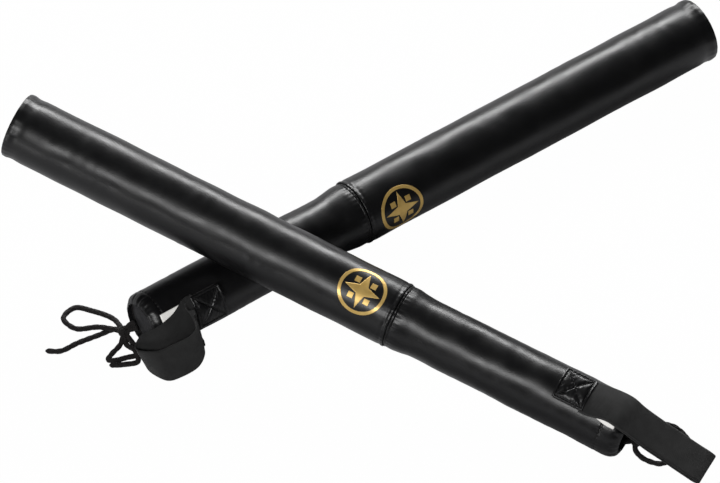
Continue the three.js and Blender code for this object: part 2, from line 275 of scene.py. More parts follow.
class Finish:
    """A procedural material that is built up on one Principled BSDF."""

    def __init__(self, name, roughness, metallic=0.0, specular=0.5):
        self.material = bpy.data.materials.new(name)
        self.material.use_nodes = True
        self.tree = self.material.node_tree
        self.surface = self.tree.nodes["Principled BSDF"]
        self.surface.inputs["Metallic"].default_value = metallic
        self.surface.inputs["Roughness"].default_value = roughness
        self.surface.inputs["Specular IOR Level"].default_value = specular
        self.place = self.tree.nodes.new("ShaderNodeTexCoord").outputs["Object"]

    def node(self, kind, inputs=None, **settings):
        made = self.tree.nodes.new("ShaderNode" + kind)
        for key, value in settings.items():
            setattr(made, key, value)
        for key, value in (inputs or {}).items():
            if isinstance(value, bpy.types.NodeSocket):
                self.tree.links.new(value, made.inputs[key])
            else:
                made.inputs[key].default_value = value
        return made

    def on_cloth(self):
        """Measures textures on the cloth itself instead of in space."""
        self.place = self.node("Attribute", attribute_name="cloth").outputs["Vector"]

    def noise(self, size, detail=3, stretch=None):
        """Clouds of about a size. A stretch above 1 packs them closer along that axis."""
        place = self.place
        if stretch:
            place = self.node("Mapping", {"Vector": place, "Scale": stretch}).outputs[0]
        inputs = {"Vector": place, "Scale": 1 / size, "Detail": detail}
        return self.node("TexNoise", inputs).outputs["Fac"]

    def cells(self, size):
        return self.node("TexVoronoi", {"Vector": self.place, "Scale": 1 / size}).outputs["Distance"]

    def stripes(self, size, axis, distortion):
        """Bands that repeat every size. At a scale of 1 the wave texture's bands are TURN / 20 apart."""
        inputs = {"Vector": self.place, "Scale": TURN / 20 / size, "Distortion": distortion}
        return self.node("TexWave", inputs, bands_direction=axis).outputs["Fac"]

    def span(self, value, low, high, new_low, new_high):
        """Maps low..high to new_low..new_high."""
        inputs = {0: value, 1: low, 2: high, 3: new_low, 4: new_high}
        return self.node("MapRange", inputs).outputs[0]

    def combine(self, a, b, how="ADD"):
        return self.node("Math", {0: a, 1: b}, operation=how).outputs[0]

    def colour(self, amount, first, second):
        """Blends the base colour from the first to the second by an amount."""
        mix = self.node("Mix", data_type="RGBA")
        self.tree.links.new(amount, mix.inputs[0])
        mix.inputs[6].default_value = (*first, 1)
        mix.inputs[7].default_value = (*second, 1)
        self.tree.links.new(mix.outputs[2], self.surface.inputs["Base Color"])

    def rough(self, size, low, high, detail=3):
        """Lets the roughness vary from low to high in clouds of a size."""
        value = self.span(self.noise(size, detail), 0.3, 0.7, low, high)
        self.tree.links.new(value, self.surface.inputs["Roughness"])

    def bumps(self, *layers):
        """Each layer is a height and the depth that a height of 1 stands for."""
        normal = None
        for height, depth in layers:
            inputs = {"Height": height, "Distance": depth, "Strength": 1.0}
            if normal:
                inputs["Normal"] = normal
            normal = self.node("Bump", inputs).outputs["Normal"]
        self.tree.links.new(normal, self.surface.inputs["Normal"])

    def worn_edges(self):
        """1 on sharp convex edges and 0 elsewhere. Flat ground has a pointiness of 0.5."""
        pointiness = self.node("NewGeometry").outputs["Pointiness"]
        return self.span(pointiness, 0.52, 0.62, 0.0, 1.0)


def leather_finish():
    """Smooth black PU leather: faint grain, soft creases, and edges rubbed a little grey."""
    leather = Finish("pu_leather", 0.33)
    cloud = leather.noise(45 * MM, 4)
    worn = leather.combine(leather.worn_edges(), leather.span(cloud, 0.35, 0.7, 0.0, 0.35))
    leather.colour(worn, (0.0045, 0.0045, 0.0050), (0.0105, 0.0105, 0.0115))
    leather.rough(18 * MM, 0.29, 0.40, detail=5)
    leather.bumps(
        (leather.noise(14 * MM, 2), 0.07 * MM),
        (leather.noise(2.4 * MM, 3), 0.035 * MM),
        (leather.cells(0.9 * MM), 0.034 * MM),
    )
    return leather.material


def lining_finish():
    """The duller coated cloth of the grip end disc."""
    lining = Finish("coated_lining", 0.5)
    lining.colour(lining.noise(8 * MM), (0.032, 0.032, 0.035), (0.055, 0.055, 0.058))
    lining.rough(5 * MM, 0.42, 0.6)
    lining.bumps((lining.noise(5 * MM, 2), 0.25 * MM), (lining.cells(0.8 * MM), 0.06 * MM))
    return lining.material


def webbing_finish():
    """Plain-woven nylon webbing: yarns both ways, ribs across, and a matt, slightly dusty colour."""
    webbing = Finish("woven_webbing", 0.82, specular=0.25)
    webbing.on_cloth()
    warp = webbing.stripes(1.1 * MM, "Y", 0.6)
    weft = webbing.stripes(0.8 * MM, "X", 0.6)
    weave = webbing.combine(warp, weft, "MULTIPLY")
    dust = webbing.noise(12 * MM, 5)
    shade = webbing.combine(webbing.span(weave, 0, 1, 0.0, 0.55), webbing.span(dust, 0.3, 0.7, 0.0, 0.45))
    webbing.colour(shade, (0.021, 0.021, 0.021), (0.048, 0.048, 0.048))
    webbing.surface.inputs["Sheen Weight"].default_value = 0.12
    webbing.bumps((weave, 0.22 * MM), (webbing.noise(0.5 * MM), 0.06 * MM))
    return webbing.material


def cord_finish():
    """Braided polyester cord with loose fibres."""
    cord = Finish("braided_cord", 0.8, specular=0.3)
    cord.colour(cord.noise(1.2 * MM, 4), (0.006, 0.005, 0.005), (0.020, 0.017, 0.017))
    cord.surface.inputs["Sheen Weight"].default_value = 0.1
    cord.bumps((cord.noise(0.35 * MM, 3), 0.10 * MM))
    return cord.material


def satin_finish():
    """White satin ribbon: fine threads and a soft shine."""
    satin = Finish("white_satin", 0.42)
    satin.on_cloth()
    threads = satin.stripes(0.45 * MM, "X", 0.3)
    satin.colour(satin.noise(6 * MM), (0.84, 0.83, 0.80), (0.94, 0.93, 0.91))
    satin.bumps((threads, 0.04 * MM), (satin.noise(7 * MM, 2), 0.2 * MM))
    # Painted light: a faint glow brightens the label where the lamps leave it in shade, and stands for
    # light that comes through the thin ribbon.
    satin.surface.inputs["Emission Color"].default_value = (1, 0.98, 0.94, 1)
    satin.surface.inputs["Emission Strength"].default_value = 0.3
    return satin.material


def gold_finish():
    """Gold foil pressed on the cover: bright, a little uneven, and thinner in places."""
    gold = Finish("gold_foil", 0.36, metallic=0.35)
    gold.colour(gold.noise(7 * MM, 5), (0.66, 0.40, 0.085), (0.93, 0.66, 0.24))
    gold.rough(9 * MM, 0.28, 0.46, detail=4)
    gold.bumps((gold.noise(14 * MM, 2), 0.08 * MM), (gold.cells(0.9 * MM), 0.02 * MM))
    return gold.material


def thread_finish():
    """Black bonded thread, with the twist of its plies."""
    thread = Finish("bonded_thread", 0.45)
    thread.colour(thread.noise(1.5 * MM), (0.004, 0.004, 0.004), (0.014, 0.014, 0.014))
    thread.bumps((thread.noise(0.3 * MM, 2, (1, 1, 3)), 0.06 * MM))
    return thread.material


def foam_finish():
    """Grey open-cell foam."""
    foam = Finish("padding_foam", 0.95, specular=0.1)
    pores = foam.cells(1.1 * MM)
    foam.colour(pores, (0.050, 0.050, 0.053), (0.095, 0.095, 0.098))
    foam.bumps((pores, 0.4 * MM))
    return foam.material


def plastic_finish():
    """Pale extruded plastic, with fine lines from the die."""
    plastic = Finish("extruded_plastic", 0.5)
    plastic.colour(plastic.noise(20 * MM), (0.44, 0.44, 0.43), (0.52, 0.52, 0.51))
    plastic.rough(6 * MM, 0.42, 0.6)
    plastic.bumps((plastic.noise(0.8 * MM, 2), 0.03 * MM))
    return plastic.material


MATERIALS = {
    "leather": leather_finish(),
    "lining": lining_finish(),
    "webbing": webbing_finish(),
    "cord": cord_finish(),
    "satin": satin_finish(),
    "emblem": gold_finish(),
    "thread": thread_finish(),
    "foam": foam_finish(),
    "core_plastic": plastic_finish(),
}


def dress(made, slot):
    """Gives a piece its material."""
    made.data.materials.clear()
    made.data.materials.append(MATERIALS[slot])


def fit(stick, made, slot, part=None, body=None):
    """Dresses a piece, lets it ride on the stick or on another body, and lets it stand for a CAD node."""
    dress(made, slot)
    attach(made, body or stick.body)
    if part:
        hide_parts(stick.node(part))


# ---- the skin of a stick ----

AROUND = 168
ANGLES = np.linspace(0, TURN, AROUND, endpoint=False)[None, :]


def stations(start, end, step, fine_start, fine_end):
    """Places along the axis, with steps a quarter as long over a distance from each end."""
    fine = step / 4
    places = [start]
    while places[-1] < end - fine:
        near_start = places[-1] - start < fine_start
        near_end = end - places[-1] < fine_end
        places.append(places[-1] + (fine if near_start or near_end else step))
    places[-1] = end
    return np.array(places)


def puckers(stick, count, wander):
    """Folds that run along the axis. Their places round it wander by some radians."""
    phase = stick.rng.uniform(0, TURN, 3)

    def height(angle):
        shifted = angle + wander * np.sin(3 * angle + phase[0]) + wander / 2 * np.sin(7 * angle + phase[1])
        return np.cos(count * shifted + phase[2])

    return height


def strike_skin(stick):
    """The radius of the padded end's surface at any place along and about the axis."""
    radius = stick.strike_radius
    start = stick.seam
    end = stick.length
    narrowing = 0.30 * MM
    lump_height = 0.12 * MM
    ripple_height = 0.028 * MM
    stitch_pull = 0.16 * MM
    pleat_height = 0.10 * MM
    lumps = waves(stick, 22, 40 * MM, 190 * MM, 4)
    ripples = waves(stick, 16, 9 * MM, 28 * MM, 3)
    patches = waves(stick, 8, 60 * MM, 200 * MM, 3)
    pull = puckers(stick, round(TURN * radius / STITCH_PITCH), STITCH_WANDER)
    pleats = puckers(stick, 26, 0.06)

    def at(along, angle):
        middle = 1 - smoothstep(along, end - 25 * MM, end)
        shape = radius + narrowing * (0.5 - (along - start) / (end - start))
        shape = shape + lump_height * lumps(along, angle) * middle
        in_patches = np.clip(patches(along, angle), 0, 2)
        shape = shape + ripple_height * ripples(along, angle) * in_patches * middle
        # The folded edge stands up from the seam, and each stitch pulls it in a little.
        from_seam = along - start
        shape = shape + ridge(from_seam, height=0.22, middle=1.2, width=1.2)
        shape = shape + ridge(from_seam, height=-0.35, middle=3.6, width=1.6)
        shape = shape - stitch_pull * pull(angle) * np.exp(-np.maximum(from_seam, 0) / (4 * MM))
        # The tip has a slight neck behind a soft lip.
        to_end = end - along
        shape = shape + ridge(to_end, height=-0.55, middle=11.5, width=4.5)
        shape = shape + ridge(to_end, height=0.35, middle=5, width=2.2)
        return shape + pleat_height * pleats(angle) * bell(to_end, 4 * MM, 7 * MM)

    return at


def grip_skin(stick):
    """The radius of the grip's surface: gathered at its mouth, stitched at its hem, flared at the seam."""
    mouth = stick.reach("grip_end_disc") * FACET_DEPTH
    mouth_depth = 11 * MM
    full = stick.strike_radius - 1.55 * MM
    neck = full - 1.1 * MM
    shoulder = stick.strike_radius - 0.9 * MM
    end = stick.span("grip_cover")[1]
    lump_height = 0.17 * MM
    ripple_height = 0.04 * MM
    hem_pull = 0.14 * MM
    seam_pull = 0.15 * MM
    lumps = waves(stick, 20, 35 * MM, 150 * MM, 4)
    ripples = waves(stick, 16, 8 * MM, 24 * MM, 3)
    gathers = puckers(stick, 19, 0.10)
    fine_gathers = puckers(stick, 31, 0.05)
    pull = puckers(stick, round(TURN * full / STITCH_PITCH), STITCH_WANDER)

    def at(along, angle):
        straight = full + (neck - full) * np.clip(along / (end - TAPER_LENGTH), 0, 1)
        shape = straight + (shoulder - neck) * smoothstep(along, end - TAPER_LENGTH, end - 4 * MM)
        to_seam = end - along
        shape = shape + ridge(to_seam, height=0.28, middle=5, width=4)
        body = smoothstep(along, 4 * MM, 30 * MM) * smoothstep(to_seam, 0, 14 * MM)
        shape = shape + lump_height * lumps(along, angle) * body
        shape = shape + ripple_height * ripples(along, angle) * body
        # The hem is sewn down, and its channel swells a little over the cord.
        from_stitch = along - stick.hem_stitch
        shape = shape + ridge(from_stitch, height=-0.45, middle=0, width=0.9)
        shape = shape - hem_pull * pull(angle) * bell(from_stitch, 0, 3 * MM)
        shape = shape + ridge(from_stitch, height=0.25, middle=-6, width=4)
        shape = shape - seam_pull * pull(angle) * bell(to_seam, 0, 5 * MM)
        # The drawcord gathers the mouth, so the skin turns in round a quarter circle.
        inwards = np.clip(1 - along / mouth_depth, 0, 1)
        gathered = mouth + (shape - mouth) * np.sqrt(np.clip(1 - inwards ** 2, 0, 1))
        fold = 0.30 * MM * gathers(angle) + 0.16 * MM * fine_gathers(angle)
        return gathered + fold * smoothstep(inwards, 0.0, 0.7)

    return at


def sleeve_piece(stick, part, skin, places, first_turn, last_turn):
    """A cover: its outside follows the skin, its inside lies one thickness in, and between them its first
    and last edges turn over and stand out by first_turn and last_turn."""
    along = places[:, None]
    outside = stick.at(along, ANGLES, skin(along, ANGLES))
    inside_places = np.linspace(places[-1], places[0], 12)[:, None]
    inside = stick.at(inside_places, ANGLES, skin(inside_places, ANGLES) - COVER_THICKNESS)

    def edge(place, turn):
        """Rows round an edge, from the outside to the inside."""
        radius = skin(np.array([[place]]), ANGLES)
        rows = []
        for share in (0.2, 0.5, 0.8):
            reach = turn * math.sin(math.pi * share)
            rows.append(stick.at(place + reach, ANGLES, radius - COVER_THICKNESS * share))
        return np.concatenate(rows)

    rows = [outside, edge(places[-1], last_turn), inside, edge(places[0], -first_turn)[::-1]]
    return swept(stick.node(part), np.concatenate(rows), close_rows=True)


def strike_cover(stick, skin):
    end = stick.span("strike_cover")[1] - TIP_SHORTER
    places = stations(stick.seam, end, step=2.0 * MM, fine_start=14 * MM, fine_end=16 * MM)
    made = sleeve_piece(stick, "striking_cover", skin, places, first_turn=0.45 * MM, last_turn=0.6 * MM)
    fit(stick, made, "leather", "strike_cover")


def grip_cover(stick, skin):
    start, end = stick.span("grip_cover")
    places = stations(start + 0.15 * MM, end, step=2.0 * MM, fine_start=26 * MM, fine_end=10 * MM)
    made = sleeve_piece(stick, "grip_sleeve", skin, places, first_turn=0.3 * MM, last_turn=0.3 * MM)
    fit(stick, made, "leather", "grip_cover")


def turned(stick, profile, offset=None):
    """Turns a profile of (along, radius) about the axis. The offset moves points in or out, but not those
    on the axis."""
    along, radius = np.array(profile).T[:, :, None]
    shift = offset(along, ANGLES) if offset else 0
    return stick.at(along, ANGLES, radius + shift * (radius > SAME_PLACE))


def tip_cap(stick):
    """A disc of leather over the tip pad: slightly domed, and puckered where its rim is sewn in."""
    start, end = [place - TIP_SHORTER for place in stick.span("tip_cap")]
    rim = stick.reach("tip_cap") * FACET_DEPTH
    rim_radius = 4.4 * MM
    flat = rim - rim_radius
    face = end - 0.4 * MM
    dome = 1.6 * MM
    pleat_height = 0.16 * MM
    pleats = puckers(stick, 30, 0.05)
    profile = [(start, 0), (start, rim * 0.5), (start, rim - 0.5 * MM), (start + 0.6 * MM, rim)]
    for turn in np.linspace(0, TURN / 4, 12):
        profile.append((face - rim_radius * (1 - math.sin(turn)), rim - rim_radius * (1 - math.cos(turn))))
    for share in np.linspace(0.97, 0, 24):
        profile.append((face + dome * (1 - share ** 2), flat * share))

    def pleated(along, angle):
        return pleat_height * pleats(angle) * smoothstep(along, end - 5 * MM, end - 1.5 * MM)

    made = swept(stick.node("tip_cover"), turned(stick, profile, pleated))
    fit(stick, made, "leather", "tip_cap")


def seam_ring(stick):
    """The turned-in edges of both covers, as one soft fold that the stitches pull into beads."""
    start, end = stick.span("seam_ring")
    crown = stick.strike_radius - 0.85 * MM
    inner = crown - 1.3 * MM
    drop = 0.5 * MM
    bead_height = 0.16 * MM
    beads = puckers(stick, round(TURN * crown / STITCH_PITCH), STITCH_WANDER)
    profile = [(start, inner)]
    for share in np.linspace(0, 1, 11):
        profile.append((start + (end - start) * share, crown - drop * abs(2 * share - 1) ** 2))
    profile.append((end, inner))

    def beaded(along, angle):
        return bead_height * beads(angle) * (1 - np.abs(2 * (along - start) / (end - start) - 1))

    made = swept(stick.node("folded_seam"), turned(stick, profile, beaded), close_rows=True)
    fit(stick, made, "leather", "seam_ring")


def end_disc(stick):
    """The coated disc in the mouth, slightly sunk and wrinkled where the hem presses on it."""
    start, end = stick.span("grip_end_disc")
    rim = stick.reach("grip_end_disc") * FACET_DEPTH - 0.1 * MM
    sink = 0.9 * MM
    wrinkle_height = 0.35 * MM
    wrinkles = waves(stick, 14, 14 * MM, 40 * MM, 5)
    profile = [(end, 0), (end, rim * 0.5), (end, rim), (start + 0.4 * MM, rim)]
    hidden = len(profile)
    for share in np.linspace(0.98, 0, 26):
        profile.append((start + sink * (1 - share ** 2), rim * share))
    radius = np.array(profile)[:, 1:]
    push = wrinkle_height * wrinkles(radius, ANGLES) * smoothstep(rim - radius, 0, 4 * MM) * (radius / rim)
    push[:hidden] = 0
    rows = turned(stick, profile) + push[..., None] * stick.x
    made = swept(stick.node("mouth_disc"), rows)
    fit(stick, made, "lining", "grip_end_disc")


# ---- stitches ----

def stitch_run(name, runs):
    """One mesh of many stitches. Each run is (start, end, outward direction). A stitch arches over the
    cloth and thins out where it dives in."""
    verts, faces = [], []
    sides = 8
    rows = 9
    for start, end, outwards in runs:
        forwards = unit(end - start)
        sideways = np.cross(forwards, outwards)
        first = len(verts)
        for row in range(rows):
            t = row / (rows - 1)
            arch = math.sin(math.pi * t)
            middle = start + (end - start) * t + outwards * THREAD_RADIUS * (arch - 0.8)
            thick = THREAD_RADIUS * max(arch, 0.05) ** 0.4
            for side in range(sides):
                turn = TURN * side / sides
                verts.append(middle + thick * (math.cos(turn) * outwards + math.sin(turn) * sideways))
        faces += grid_faces(rows, sides, first)
        faces.append(tuple(first + side for side in reversed(range(sides))))
        last = first + (rows - 1) * sides
        faces.append(tuple(last + side for side in range(sides)))
    return piece(name, verts, faces)


def ring_stitches(stick, place, radius):
    """Stitches laid end to end round the stick. The radius is a function of the angle."""
    count = round(TURN * stick.strike_radius / STITCH_PITCH)
    half = STITCH_LENGTH / 2 / stick.strike_radius
    runs = []
    for i in range(count):
        middle = TURN * i / count + stick.rng.uniform(-STITCH_WANDER, STITCH_WANDER)
        ends = [stick.at(place, middle + turn, radius(middle + turn)) for turn in (-half, half)]
        outwards = stick.at(0, middle, 1) - stick.at(0, middle, 0)
        runs.append((*ends, outwards))
    return runs


def sewn_rings(stick, skin):
    """The stitches round the seam and round the hem."""
    crown = stick.strike_radius - 0.70 * MM

    def hem_radius(angle):
        return float(skin(stick.hem_stitch, angle)) + 0.12 * MM

    seam = ring_stitches(stick, sum(stick.span("seam_ring")) / 2, lambda angle: crown)
    hem = ring_stitches(stick, stick.hem_stitch, hem_radius)
    made = stitch_run(stick.node("ring_stitches"), seam + hem)
    fit(stick, made, "thread")


# ---- the strap, its patch and the label ----

def wrapped_slab(stick, along, half_width, bottom, top, columns, turned_by=None):
    """A closed slab bent round the stick. bottom and top give the radius at (along, across), and
    turned_by gives the angle of the slab's middle line."""
    squareness = 14
    across = np.linspace(-1, 1, columns) * half_width
    rounding = np.sqrt(np.clip(1 - np.abs(across / half_width) ** squareness, 0, 1))
    sideways = np.concatenate([across, across[::-1][1:-1]])
    rows = []
    for place in along:
        low = bottom(place, across)
        high = top(place, across)
        middle = (low + high) / 2
        upper = middle + (high - middle) * rounding
        lower = middle - (middle - low) * rounding
        radius = np.concatenate([upper, lower[::-1][1:-1]])
        turn = turned_by(place) if turned_by else 0
        rows.append(stick.at(place, turn + sideways / middle.mean(), radius))
    return np.array(rows)


def line_distance(x, y, start, end):
    """The distance of points from a line between two points."""
    way = np.subtract(end, start)
    share = ((x - start[0]) * way[0] + (y - start[1]) * way[1]) / (way @ way)
    share = np.clip(share, 0, 1)
    return np.hypot(x - start[0] - share * way[0], y - start[1] - share * way[1])


def box_and_cross(stick):
    """The six lines of stitching on the patch, in (along, across)."""
    start, end = stick.span("strap_patch")
    half = patch_half_width(stick) - PATCH_STITCH_INSET
    near, far = start + PATCH_STITCH_INSET, end - PATCH_STITCH_INSET
    ends = [(near, -half), (near, half), (far, half), (far, -half)]
    return [(ends[i], ends[(i + 1) % 4]) for i in range(4)] + [(ends[0], ends[2]), (ends[1], ends[3])]


def patch_half_width(stick):
    """Half the patch's width, measured round the stick."""
    return stick.sector("strap_patch")[1] * stick.radii("strap_patch").mean()


def patch_top(stick):
    """The radius of the patch's outside: pillows between grooves, creased where the stitches pull."""
    lines = box_and_cross(stick)
    top = stick.reach("strap_patch") - 0.25 * MM
    pillow_height = 0.55 * MM
    groove_depth = 0.75 * MM
    crease_height = 0.17 * MM
    edge_drop = 0.7 * MM
    bend_radius = 28 * MM
    start, end = stick.span("strap_patch")
    creases = waves(stick, 26, 2.6 * MM, 9 * MM, 40)
    half = patch_half_width(stick)

    def at(along, across):
        away = np.min([line_distance(along, across, *line) for line in lines], axis=0)
        to_edge = np.minimum(np.minimum(along - start, end - along), half - np.abs(across))
        pillow = smoothstep(away, 0, 4.0 * MM)
        groove = bell(away, 0, 0.75 * MM)
        near_stitches = np.exp(-away / (2.6 * MM)) * smoothstep(away, 0, 1.2 * MM)
        crease = creases(along, across / bend_radius) * near_stitches
        edge = 1 - smoothstep(to_edge, -0.2 * MM, 1.2 * MM)
        shape = top + pillow_height * pillow - groove_depth * groove
        return shape + crease_height * crease - edge_drop * edge

    return at


def strap_patch(stick):
    """The leather square over the strap's ends, and its stitches."""
    start, end = stick.span("strap_patch")
    top = patch_top(stick)
    base = stick.radii("strap_patch").min()
    along = np.linspace(start, end, 84)
    rows = wrapped_slab(stick, along, patch_half_width(stick), lambda s, y: base + 0 * y, top, 96)
    made = swept(stick.node("sewn_patch"), capped(rows))
    fit(stick, made, "leather", "strap_patch")
    runs = []
    for line in box_and_cross(stick):
        first, last = np.array(line)
        count = round(np.linalg.norm(last - first) / PATCH_STITCH_PITCH)
        for i in range(count):
            spots = [first + (last - first) * (i + share) / count for share in (0.12, 0.88)]
            ends = []
            for place, across in spots:
                radius = float(top(place, np.array([across]))[0]) + 0.15 * MM
                ends.append(stick.at(place, across / base, radius))
            middle = (spots[0] + spots[1]) / 2
            outwards = stick.at(0, middle[1] / base, 1) - stick.at(0, 0, 0)
            runs.append((*ends, outwards))
    stitches = stitch_run(stick.node("patch_stitches"), runs)
    fit(stick, stitches, "thread")


def strap_ends(stick):
    """The two sewn-down ends of the webbing under the patch."""
    start, end = stick.span("strap_ends")
    low = stick.radii("strap_ends").min()
    half = patch_half_width(stick) - 0.6 * MM
    layers = []
    for layer in range(2):
        base = low + layer * (WEBBING_THICKNESS + 0.2 * MM)
        along = np.linspace(start, end - layer * 0.8 * MM, 10)
        rows = wrapped_slab(stick, along, half, lambda s, y: base + 0 * y,
                            lambda s, y: base + WEBBING_THICKNESS + 0 * y, 40)
        layers.append(capped(rows))
    cloth = np.concatenate(layers) - stick.origin
    made = swept(stick.node("webbing_ends"), *layers, cloth=cloth)
    fit(stick, made, "webbing", "strap_ends")


def webbing_loop(stick, stops, steps):
    """Webbing along a path. A stop is its place in the stick's frame in millimetres, the direction across
    the webbing, and how far the webbing follows the round of the grip there: 1 hugs it and 0 is flat."""
    stops = np.array(stops, float)
    stops[:, :3] *= MM
    path = smooth_path(stops, steps)
    middle = path[:, :3]
    side = unit(path[:, 3:6])
    face = unit(np.cross(slopes(middle), side))
    flattest = 0.001
    bend = np.maximum(path[:, 6], flattest) / stick.grip_radius
    away = np.where(face[:, 1] * middle[:, 1] + face[:, 2] * middle[:, 2] > 0, 1, -1)
    distance = path_length(middle)

    half = WEBBING_WIDTH / 2
    columns = 30
    squareness = 16
    across = np.linspace(-1, 1, columns) * half
    thick = WEBBING_THICKNESS / 2 * np.sqrt(np.clip(1 - np.abs(across / half) ** squareness, 0, 1))
    # The selvedges are a little thicker than the field of the weave.
    thick = thick * (0.92 + 0.14 * smoothstep(np.abs(across), half - 3 * MM, half - 1.5 * MM))
    around = np.concatenate([across, across[::-1][1:-1]])
    through = np.concatenate([thick, -thick[::-1][1:-1]])
    cup_height = 0.16 * MM
    sag = waves(stick, 8, 25 * MM, 70 * MM, 0)

    rows, cloth = [], []
    for i in range(len(middle)):
        radius = away[i] / bend[i]
        angle = around / radius
        ease = math.sin(math.pi * i / (len(middle) - 1))
        cup = cup_height * ease * sag(distance[i], 0) * np.cos(around / half * 2)
        out = (radius + through) * np.cos(angle) - radius + cup
        sideways = (radius + through) * np.sin(angle)
        local = middle[i] + out[:, None] * face[i] + sideways[:, None] * side[i]
        rows.append(stick.origin + local @ np.array([stick.x, stick.y, stick.z]))
        cloth.append(np.column_stack([np.full(len(around), distance[i]), around, 0 * around]))
    cloth = np.array([cloth[0], *cloth, cloth[-1]])
    made = swept(stick.node("wrist_strap"), capped(np.array(rows)), cloth=cloth)
    dress(made, "webbing")
    # A point on the hinge line, just inside the loop's end. It is worked out but not used.
    hinge = stick.at(stick.span("strap_loop")[1] - 0.2 * MM, 0, stick.grip_radius)
    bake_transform(made)
    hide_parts(stick.node("strap_loop"))


def layer_heights(stick):
    """The heights of the strap's two layers where they lie under the patch, in millimetres."""
    low = stick.radii("strap_ends").min() / MM
    inner = low + WEBBING_THICKNESS / MM / 2
    return inner, inner + WEBBING_THICKNESS / MM + 0.3


# Straight across the stick.
LEVEL = (0, 1, 0)


def open_strap(stick):
    """The lower stick's strap stands open on its edge on the floor."""
    inner, outer = layer_heights(stick)
    stops = [
        (44, 0, inner, *LEVEL, 0.98),
        (36.2, 0, inner + 0.5, *LEVEL, 0.9),
        (20, -7.5, 30.6, 0, 0.98, 0.2, 0.9),
        (3, -10.5, 29, -0.05, 0.94, 0.34, 0.7),
        (-10, -11.6, 22.6, -0.25, 0.91, 0.33, 0.3),
        (-16.5, -16, 18, -0.3, 0.85, 0.45, 0),
        (-18, -20, 22.5, -0.3, 0.89, 0.36, 0),
        (-7, -28.6, 32, -0.1, 0.97, 0.22, 0),
        (8, -30, 34.5, 0, 0.99, 0.15, 0),
        (26, -28, 37.5, 0, 0.98, 0.2, 0),
        (34.5, -19.5, 38.6, -0.03, 0.97, 0.24, 0.1),
        (36.2, -4, outer + 0.6, *LEVEL, 0.8),
        (44, 0, outer, *LEVEL, 0.98),
    ]
    webbing_loop(stick, stops, 300)


def flat_strap(stick):
    """The upper stick's strap lies flattened over the grip's end, banked there, and tips more beyond it."""
    inner, outer = layer_heights(stick)
    lean = math.radians(12)
    tipped = (0, math.cos(lean), math.sin(lean))
    banked = (0, math.cos(lean / 2), math.sin(lean / 2))
    stops = [
        (44, 0, inner, *LEVEL, 0.98),
        (36.2, 0, inner + 0.5, *LEVEL, 0.9),
        (20, -3, inner + 1.0, *banked, 0.85),
        (10, -2.4, inner + 1.0, *banked, 0.75),
        (3, -1.8, 28.6, *banked, 0.55),
        (-5, -1.6, 22.2, *tipped, 0.25),
        (-21, -2, 11, *tipped, 0),
        (-40, -3.2, 2, *tipped, 0),
        (-60, -4, -6.8, *tipped, 0),
        (-71, -4.5, -10.8, *tipped, 0),
        (-75, -4.6, -9, *tipped, 0),
        (-71, -4.5, -6, *tipped, 0),
        (-60, -4, -1.6, *tipped, 0),
        (-40, -3.2, 7, *tipped, 0),
        (-21, -2, 16, *tipped, 0),
        (-5, -1.6, 26, *tipped, 0.25),
        (3, -1.8, 31.0, *banked, 0.5),
        (10, -2.4, 33.1, *banked, 0.65),
        (20, -3, outer + 1.0, *banked, 0.8),
        (36.2, 0, outer + 0.6, *LEVEL, 0.8),
        (44, 0, outer, *LEVEL, 0.98),
    ]
    webbing_loop(stick, stops, 360)


def care_label(stick):
    """A blank satin label caught under the patch. It can lie askew, and its free end lifts a little."""
    start, end = stick.span("care_label")
    base = stick.radii("care_label").min()
    low, high = stick.sector("care_label")
    middle = (high + low) / 2
    half = (high - low) / 2 * base
    lift_height = 0.25 * MM
    wave_height = 0.05 * MM

    def bottom(place, across):
        lift = lift_height * smoothstep(start + 14 * MM - place, 0, 14 * MM)
        wave = wave_height * np.sin(across / (2.5 * MM)) * smoothstep(place, start, start + 6 * MM)
        return base + lift + wave

    def top(place, across):
        return bottom(place, across) + LABEL_THICKNESS

    def slant(place):
        return 0.7 * middle * (1 - smoothstep(place, 14 * MM, 36 * MM))

    along = np.linspace(start, end, 40)
    rows = wrapped_slab(stick, along, half, bottom, top, 30, slant)
    cloth = np.zeros(rows.shape)
    cloth[..., 0] = along[:, None]
    cloth[..., 1] = (rows - stick.origin) @ stick.y
    cloth = np.concatenate([cloth[:1], cloth, cloth[-1:]])
    made = swept(stick.node("blank_label"), capped(rows), cloth=cloth)
    fit(stick, made, "satin", "care_label")


# ---- the drawcord ----

def braid(points, loose_end=False):
    """A braided cord along a smooth path, as a grid of points. Its yarns cross both ways round it, and a
    loose end is rounded off."""
    step = 0.55 * MM
    lay = 7.5 * MM
    yarns = 4
    path = smooth_path(points, 400)
    distance = path_length(path)
    count = max(int(distance[-1] / step), 12)
    even = np.linspace(0, distance[-1], count)
    middle = np.column_stack([np.interp(even, distance, path[:, axis]) for axis in range(3)])
    forwards = slopes(middle)
    side = unit(np.cross(forwards[0], [0.3, 0.2, 1.0]))
    turn = np.linspace(0, TURN, 28, endpoint=False)
    rows = []
    for i in range(count):
        side = unit(side - forwards[i] * (side @ forwards[i]))
        other = np.cross(forwards[i], side)
        twist = even[i] / lay * TURN
        yarn = np.maximum(np.cos(yarns * turn + twist), np.cos(yarns * turn - twist))
        radius = CORD_RADIUS * (0.90 + 0.13 * yarn)
        if loose_end:
            left_over = distance[-1] - even[i]
            radius = radius * math.sqrt(min(left_over / CORD_RADIUS + 0.02, 1))
        around = np.cos(turn)[:, None] * side + np.sin(turn)[:, None] * other
        rows.append(middle[i] + radius[:, None] * around)
    return capped(np.array(rows))


